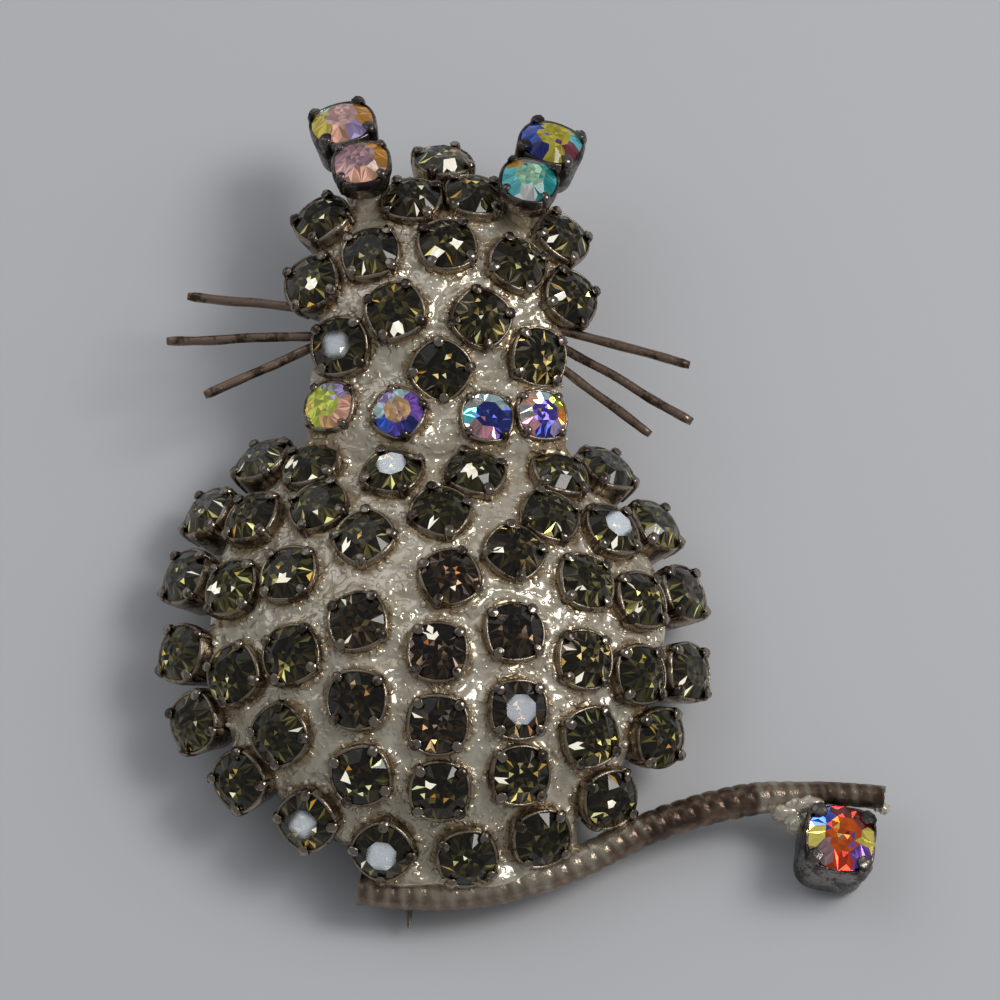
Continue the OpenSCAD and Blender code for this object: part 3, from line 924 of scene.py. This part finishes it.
def chaton():
    """Points of a stone of radius 1, and its triangles in three kinds: table, crown and the rest.
    Each triangle of the crown is split in three at its middle."""
    rings = [
        np.array([[0, 0, TABLE_UP]]), circle(CROSS_R, TABLE_UP, 8, 0), circle(STAR_R, TABLE_UP, 8, 22.5),
        circle(TABLE_R * np.cos(np.pi / 8), TABLE_UP, 8, 0), circle(TABLE_R, TABLE_UP, 8, 22.5),
        circle(1, 0, 16, 0), circle(1, -GIRDLE_T, 16, 0), np.array([[0, 0, -STONE_DEPTH]]),
    ]
    points = np.concatenate(rings)
    cross, star, edge, corner, girdle, low, tip = np.cumsum([len(ring) for ring in rings])[:-1]
    i = np.arange(8)
    j = (i + 1) % 8
    table = np.concatenate(
        [
            triangles(0, cross + i, cross + j), triangles(cross + i, star + i, cross + j),
            triangles(star + i, star + j, cross + j), triangles(star + i, edge + j, star + j),
            triangles(edge + j, star + i, corner + i), triangles(star + j, edge + j, corner + j),
        ]
    )
    odd, even = girdle + (2 * i + 1) % 16, girdle + (2 * i + 2) % 16
    crown = np.concatenate(
        [
            triangles(corner + i, odd, even), triangles(corner + i, girdle + 2 * i, odd),
            triangles(corner + i, even, edge + j), triangles(edge + j, even, corner + j),
        ]
    )
    middle = len(points) + np.arange(len(crown))
    points = np.concatenate([points, points[crown].mean(1)])
    crown = np.concatenate([triangles(crown[:, k], crown[:, (k + 1) % 3], middle) for k in range(3)])
    m = np.arange(16)
    n = (m + 1) % 16
    rest = np.concatenate(
        [
            triangles(girdle + m, low + m, low + n), triangles(girdle + m, low + n, girdle + n),
            triangles(low + m, tip, low + n),
        ]
    )
    return points, table, crown, rest


SHAPE, TABLE, CROWN, REST = chaton()
PATCHES = np.concatenate([TABLE, CROWN, REST])
PATCH_MID = SHAPE[PATCHES].mean(1)
PATCH_WAY = np.arctan2(PATCH_MID[:, 1], PATCH_MID[:, 0])
IS_TABLE = np.arange(len(PATCHES)) < len(TABLE)
IS_CROWN = ~IS_TABLE & (np.arange(len(PATCHES)) < len(TABLE) + len(CROWN))
print("a stone has", len(PATCHES), "patches")


# %% Stone mesh and glass
def make_stones(name, seats, tint, material, seed, tilt=(4.0, 26.0)):
    """Stones as one piece. tint gives a colour and a painted glow for each patch of each stone. A patch's
    mirror is the stone's way up plus the tangent of its lean, which tilt gives in degrees, to or from the
    middle."""
    rng = np.random.default_rng(seed)
    shape = SHAPE[None] * seats.radius[:, None, None]
    points = seats.place(shape[..., 0], shape[..., 1], shape[..., 2])
    lean = np.tan(np.radians(rng.uniform(*tilt, (seats.count, len(PATCHES)))))
    way = PATCH_WAY + np.pi * rng.integers(0, 2, lean.shape) + rng.normal(0, 0.45, lean.shape)
    mirror = (
        (lean * np.cos(way))[..., None] * seats.e1[:, None]
        + (lean * np.sin(way))[..., None] * seats.e2[:, None]
        + seats.up[:, None]
    )
    faces = many(PATCHES, seats.count, len(SHAPE))
    paint = {"tint": tint.reshape(-1, 4), "mirror": unit(mirror).reshape(-1, 3)}
    return make_piece(name, points.reshape(-1, 3), [faces], material, smooth=False, paint=paint)


def stone_glass(name, foil_rough, painted_glow, metallic=0.85):
    """Clear coat over a foil whose colour and facing come from the patch; where the tint's alpha says so, the
    patch glows as painted light.
    """
    g = Graph(name)
    tint = g.add("ShaderNodeAttribute", {"attribute_name": "tint"})
    mirror = g.add("ShaderNodeAttribute", {"attribute_name": "mirror"})
    turned = g.add(
        "ShaderNodeVectorTransform",
        {"vector_type": "NORMAL", "convert_from": "OBJECT", "convert_to": "WORLD"},
        {0: mirror["Vector"]},
    )
    colour = tint["Color"]
    # The tint's alpha makes the patch glow: painted light
    painted_glint_colour = g.mix(tint["Alpha"], (0, 0, 0, 1), colour)
    return g.finish(
        Base_Color=colour, Metallic=metallic, Roughness=foil_rough, Normal=turned[0],
        Coat_Weight=1.0, Coat_Roughness=0.02, Coat_IOR=1.48,
        Emission_Color=painted_glint_colour, Emission_Strength=painted_glow,
    )


smoky = stone_glass("smoky_glass", 0.12, 0.65)
rainbow = stone_glass("rainbow_glass", 0.1, 0.35)
print("two kinds of coated foil")

# %% [markdown]
# ## Smoky stones
# Looked into, a smoky stone is mostly dark olive and brown, with a few patches of gold and a rare
# one of orange or white. The brightest, orange and white patches are painted glints that glow a little,
# and the side of each stone towards -Y gets more of the lighter patches, as painted light. A picture of
# a real stone would repeat itself 62 times, so the tint of each patch is drawn from a short list, with a
# share for each.


# %% Smoky tints
SMOKE_AND_GLINTS = np.array(
    [  # red, green, blue, glow; the glowing rows are painted glints
        [0.006, 0.005, 0.004, 0.0], [0.02, 0.016, 0.01, 0.0], [0.05, 0.04, 0.02, 0.0], [0.1, 0.08, 0.04, 0.0],
        [0.26, 0.22, 0.11, 0.0], [0.8, 0.66, 0.4, 0.3], [0.9, 0.38, 0.1, 0.3], [1.0, 0.95, 0.85, 0.7],
    ]
)
# The share of each row among a stone's patches, on its upper side in the picture and on its lower side, where
# the larger shares of lighter rows are painted light
FAR_SHARE = [0.42, 0.31, 0.17, 0.07, 0.02, 0.002, 0.004, 0.004]
NEAR_LIT_SHARE = [0.27, 0.28, 0.23, 0.13, 0.06, 0.015, 0.007, 0.008]
BROWN_HUE, TO_OLIVE = np.array([1.15, 0.84, 0.76]), np.array([-0.1, 0.24, -0.2])


def smoky_tint(seats, olive, seed):
    """A tint for each patch. Patches on the side towards -Y get more of the lighter rows, as painted light,
    and olive shifts the hue.
    """
    rng = np.random.default_rng(seed)
    count = (seats.count, len(PATCHES))
    far, near = (rng.choice(len(SMOKE_AND_GLINTS), count, p=p) for p in (FAR_SHARE, NEAR_LIT_SHARE))
    way = PATCH_MID[None, :, :1] * seats.e1[:, None] + PATCH_MID[None, :, 1:2] * seats.e2[:, None]
    # Patches on the side towards -Y draw from the lighter shares: painted light.
    tint = SMOKE_AND_GLINTS[np.where(way[..., 1] + rng.normal(0, 0.25, count) < -0.1, near, far)]
    hue = BROWN_HUE + olive[:, None] * TO_OLIVE
    stone = rng.uniform(0.7, 1.2, (seats.count, 1, 1)) * (hue * (1 + 0.5 * olive[:, None]))[:, None]
    tint[..., :3] = np.minimum(tint[..., :3] * stone, 1)
    return tint


BROWNEST = (-3.9, -9.4)
body_olive = smoothstep(3.0, 9.0, np.hypot(*(body_seats.middle[:, :2] - BROWNEST).T))
head_olive = np.full(head_seats.count, 0.8)
body_tint = smoky_tint(body_seats, body_olive, seed=31)
head_tint = smoky_tint(head_seats, head_olive, seed=32)
print("olive shares of the body's stones", body_olive.min().round(2), "to", body_olive.max().round(2))

# %% [markdown]
# ## Sparks
# A few sparks, painted highlights that whiten patches and make them glow, are so strong that they
# decide how the brooch looks. Chance would put them elsewhere, so a short chart says where each of them
# lies: across and up in the plane of its stone's girdle as the camera sees it, and its radius, in mm.


# %% Sparks
EYE = np.array([-1.09, -110.333, 307.42])
PAINTED_SPARK_TINT = (1.0, 0.93, 0.78, 1.0)
PAINTED_SPARKS = [
    (1.9, 8.8, 0.36), (-1.9, 16.5, 0.34), (0.8, 26.8, 0.36), (0.0, -0.6, 0.33), (0.2, 20.7, 0.3),
    (-7.6, 2.9, 0.3), (1.2, 21.2, 0.27), (-11.2, 2.9, 0.26), (-6.4, 19.4, 0.26), (-4.4, -7.5, 0.25),
    (-0.1, -7.9, 0.24), (6.2, 22.5, 0.24), (6.6, 19.0, 0.23), (-7.3, 9.8, 0.23), (0.9, 1.8, 0.2),
    (7.5, -2.3, 0.2), (7.3, -5.6, 0.2), (3.4, -7.5, 0.2), (7.1, -0.8, 0.18), (9.1, -8.0, 0.18),
    (7.8, 2.4, 0.18), (-4.4, -0.9, 0.18), (-0.6, -4.7, 0.18), (-1.0, 23.7, 0.17), (10.5, 1.9, 0.17),
    (0.0, 5.7, 0.17), (9.3, 5.5, 0.16), (3.4, 4.1, 0.15), (6.4, 5.8, 0.15), (-12.2, 4.5, 0.15),
    (12.8, -1.2, 0.15), (-3.6, 19.8, 0.15), (-6.1, 6.5, 0.15), (-4.4, 4.4, 0.15),
]


def nearest(seats, place):
    """The number of the seat that is nearest to a place of the chart."""
    return np.argmin(np.linalg.norm(seats.middle[:, :2] - CHART - place, axis=1))


def paint_sparks(seats, tint):
    """Paints a highlight: whitens the patches that the camera sees within each spark's radius, or else the
    nearest one, and makes them glow. A patch is moved along the line of sight into its girdle's plane. Sparks
    of other stones are left."""
    shape = PATCH_MID[None] * seats.radius[:, None, None]
    patches = seats.place(shape[..., 0], shape[..., 1], shape[..., 2])
    view = unit(EYE - seats.middle)
    drop = (patches[..., 2:] - seats.middle[:, None, 2:]) * (view[:, None, :2] / view[:, None, 2:])
    flat = patches[..., :2] - drop
    below = ~(IS_TABLE | IS_CROWN)
    for *place, wide in PAINTED_SPARKS:
        k = nearest(seats, place)
        gap = np.where(below, np.inf, np.linalg.norm(flat[k] - CHART - place, axis=1))
        if gap.min() < 0.5:
            tint[k, gap <= max(wide, gap.min())] = PAINTED_SPARK_TINT
    print((tint[..., 3] == PAINTED_SPARK_TINT[3]).sum(), "patches are sparks")


paint_sparks(body_seats, body_tint)
paint_sparks(head_seats, head_tint)
body_stones = make_stones("body_stones_cut", body_seats, body_tint, smoky, seed=41)
head_stones = make_stones("head_stones_cut", head_seats, head_tint, smoky, seed=42)
for stone_piece, node in ((body_stones, "body_stones"), (head_stones, "head_stones")):
    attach(stone_piece, "root")
    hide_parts(node)

# %% [markdown]
# ## Rainbow stones
# The collar, ears and tail have stones with a thin coat that shows another colour on each facet.
# A thin film in the shader would give such colours, but not on the facets that have them. So a chart
# gives each stone the colour of its table and of the eight sides of its crown, as seen from above the
# brooch, from the right and round to the left.

# %% Rainbow stones
COLOURS = {
    "red": (0.75, 0.06, 0.02), "dark_red": (0.22, 0.015, 0.01), "orange": (0.95, 0.3, 0.06),
    "tan": (0.62, 0.36, 0.16), "yellow": (0.95, 0.76, 0.14), "lime": (0.55, 0.62, 0.08),
    "olive": (0.66, 0.56, 0.05), "pale_green": (0.45, 0.75, 0.5), "teal": (0.02, 0.4, 0.4),
    "cyan": (0.15, 0.7, 0.75), "pale_cyan": (0.55, 0.75, 0.78), "blue": (0.05, 0.12, 0.6),
    "navy": (0.02, 0.03, 0.2), "violet": (0.22, 0.1, 0.5), "indigo": (0.08, 0.06, 0.38),
    "lilac": (0.5, 0.4, 0.7), "pink": (0.8, 0.35, 0.45), "salmon": (0.85, 0.45, 0.32),
    "mauve": (0.42, 0.25, 0.28), "maroon": (0.25, 0.04, 0.07), "grey": (0.38, 0.38, 0.36),
    "amber": (0.75, 0.34, 0.05), "fire": (0.8, 0.12, 0.01), "rose": (0.7, 0.42, 0.4),
    "white": (0.85, 0.88, 0.85), "brown": (0.3, 0.18, 0.1),
}
RAINBOW = {
    "collar_stone_1": ("lime", "salmon", "lilac", "grey", "lime", "yellow", "lime", "tan", "salmon"),
    "collar_stone_2": (
        "tan", "violet", "violet", "pale_cyan", "lilac", "pale_cyan", "blue", "indigo", "navy",
    ),
    "collar_stone_3": ("navy", "navy", "pale_cyan", "pale_cyan", "grey", "cyan", "mauve", "pink", "navy"),
    "collar_stone_4": ("indigo", "orange", "lime", "pale_cyan", "salmon", "grey", "pink", "navy", "lilac"),
    "ear_stone_left_low": ("mauve", "amber", "amber", "brown", "mauve", "mauve", "rose", "salmon", "salmon"),
    "ear_stone_left_high": (
        "rose", "amber", "amber", "grey", "pale_green", "yellow", "yellow", "salmon", "lilac",
    ),
    "ear_stone_right_low": ("pale_green", "teal", "teal", "grey", "amber", "cyan", "cyan", "white", "teal"),
    "ear_stone_right_high": ("olive", "cyan", "olive", "olive", "blue", "blue", "navy", "olive", "maroon"),
    "tail_stone": ("fire", "yellow", "dark_red", "dark_red", "blue", "yellow", "mauve", "red", "violet"),
}


def rainbow_tint(seats, names, seed):
    """Each patch takes the colour of its side of the stone, as seen from above, a little varied."""
    rng = np.random.default_rng(seed)
    chart = np.array([COLOURS[n] for n in names])
    spin = np.arctan2(seats.e1[0, 1], seats.e1[0, 0])
    sector = np.round((PATCH_WAY + spin) / (np.pi / 4)).astype(int) % 8
    colour = np.where(IS_TABLE[:, None], chart[0], chart[1 + sector])
    other = chart[1 + (sector + rng.integers(-1, 2, len(sector))) % 8]
    swap = (IS_TABLE & (rng.random(len(sector)) < 0.12))[:, None]
    colour = np.where(swap, other, colour) * rng.uniform(0.65, 1.2, (len(sector), 1))
    # Table and crown patches glow a little: painted light, not a lamp.
    painted_glow = np.where(IS_TABLE | IS_CROWN, 0.5, 0.0)[:, None]
    return np.concatenate([np.minimum(colour, 1), painted_glow], -1)[None]


for k, node in enumerate(SPECIAL):
    tint = rainbow_tint(special_seats[node], RAINBOW[node], seed=60 + k)
    piece = make_stones(node + "_cut", special_seats[node], tint, rainbow, seed=80 + k, tilt=(3.0, 18.0))
    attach(piece, "root")
    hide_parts(node)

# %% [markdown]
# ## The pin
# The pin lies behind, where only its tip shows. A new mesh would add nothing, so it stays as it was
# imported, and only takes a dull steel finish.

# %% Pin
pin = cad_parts["pin_back"]
pin.data.materials.clear()
pin.data.materials.append(pin_metal)
print("pin finished")

# %% [markdown]
# ## Floor
# The floor is plain and pale, so that nothing but the brooch catches the eye. A curved backdrop would
# need more faces for the same look from above. It is so wide that the camera sees no edge, and lies
# just under the brooch.


# %% Floor
def plain(name, colour, rough):
    """A plain matt material."""
    return Graph(name).finish(Base_Color=colour + (1.0,), Roughness=rough)


SPAN, FLOOR_Z = 900.0, -0.02
floor_points = np.array([[SPAN * x, SPAN * y, FLOOR_Z] for x, y in ((-1, -1), (1, -1), (1, 1), (-1, 1))])
pale = plain("pale_floor", (0.595, 0.605, 0.635), 0.8)
floor = make_piece("floor", floor_points, [np.array([[0, 1, 2, 3]])], pale)

# %% [markdown]
# ## Light
# The light is soft: a panel and a much wider one at the right, and two wide ones at the left and
# behind. One bare lamp would make hard shadows. The stones' tables would mirror the wider panels as
# grey haze, so two of them are left out of reflections.


# %% Light
def panel(name, way, distance, size, energy, colour, mirrored=True, target=(0, 0, 0), shape="DISK"):
    """An area light, its size and distance in mm, that looks at the target from the direction way.
    One that isn't mirrored lights the surfaces without being seen in them."""
    data = bpy.data.lights.new(name, "AREA")
    data.shape, data.size = shape, size * MM
    data.energy, data.color = energy, colour
    lamp = bpy.data.objects.new(name, data)
    ray = unit(np.array([way], float))[0]
    lamp.location = (np.array(target) + ray * distance) * MM
    lamp.visible_glossy = mirrored
    lamp.rotation_mode = "QUATERNION"
    lamp.rotation_quaternion = Vector(tuple(ray)).to_track_quat("Z", "Y")
    bpy.context.scene.collection.objects.link(lamp)


WARM, COOL = (1.0, 0.98, 0.95), (0.95, 0.97, 1.0)
panel("key", (0.62, 0.16, 0.77), 500, 190, 0.74, WARM)
panel("soft_key", (0.62, 0.2, 0.75), 500, 480, 0.72, WARM, mirrored=False)
panel("fill", (-0.45, 0.6, 0.66), 700, 600, 0.4, COOL)
panel("soft_fill", (-0.65, 0.3, 0.7), 600, 500, 0.35, (0.96, 0.98, 1.0), mirrored=False)

world = bpy.data.worlds.new("room")
world.use_nodes = True
room = world.node_tree.nodes["Background"].inputs
room["Color"].default_value = (0.95, 0.98, 1.0, 1)
room["Strength"].default_value = 0.2
bpy.context.scene.world = world
bpy.context.scene.view_settings.view_transform = "Standard"
print("four soft panels and a dim room")

# %% [markdown]
# ## Windows
# A few tables shine white, because each mirrors a bright spot of the room to the camera. A lamp placed
# by eye would miss such a small mirror, so a small panel stands where the line of sight goes after the
# table has mirrored it. A wider panel is brighter by its area.


# %% Windows
WINDOW_AWAY, WINDOW_POWER, TABLE_HIGH = 600, 0.000037, 0.47
LIT_TABLES = [  # the stone's place in the chart, and its window's width in mm
    (4.4, -4.2, 4.2), (-2.1, 8.9, 3.8), (-2.5, -10.8, 3.8), (9.3, 6.3, 3.4), (-4.9, 15.77, 2.8),
    (-6.4, -9.5, 2.8),
]
dark_seats = joined([body_seats, head_seats])
for k, (*place, wide) in enumerate(LIT_TABLES):
    number = nearest(dark_seats, place)
    up = dark_seats.up[number]
    table = dark_seats.middle[number] + TABLE_HIGH * up
    view = unit((EYE - table)[None])[0]
    way = 2 * (up @ view) * up - view
    power = WINDOW_POWER * wide**2
    panel("window_%d" % k, way, WINDOW_AWAY, wide, power, (0.85, 0.92, 1.0), target=table, shape="SQUARE")
    print("window", k, "stands towards", way.round(2))

# %% [markdown]
# ## Camera
# The camera looks down at 70 degrees from a third of a metre away, through a long lens. A nearer one
# would spread the outer stones, and one from straight above would hide how they lean.


# %% Camera
LENS, SENSOR, DOWN = 224.64, 36.0, 20.0
camera_data = bpy.data.cameras.new("camera")
camera_data.lens, camera_data.sensor_width = LENS, SENSOR
camera_data.clip_start, camera_data.clip_end = 0.01, 10.0
camera = bpy.data.objects.new("camera", camera_data)
camera.location = EYE * MM
camera.rotation_euler = (np.radians(DOWN), 0.0, 0.0)
bpy.context.scene.collection.objects.link(camera)
bpy.context.scene.camera = camera
print("camera", np.linalg.norm(EYE).round(), "mm away")
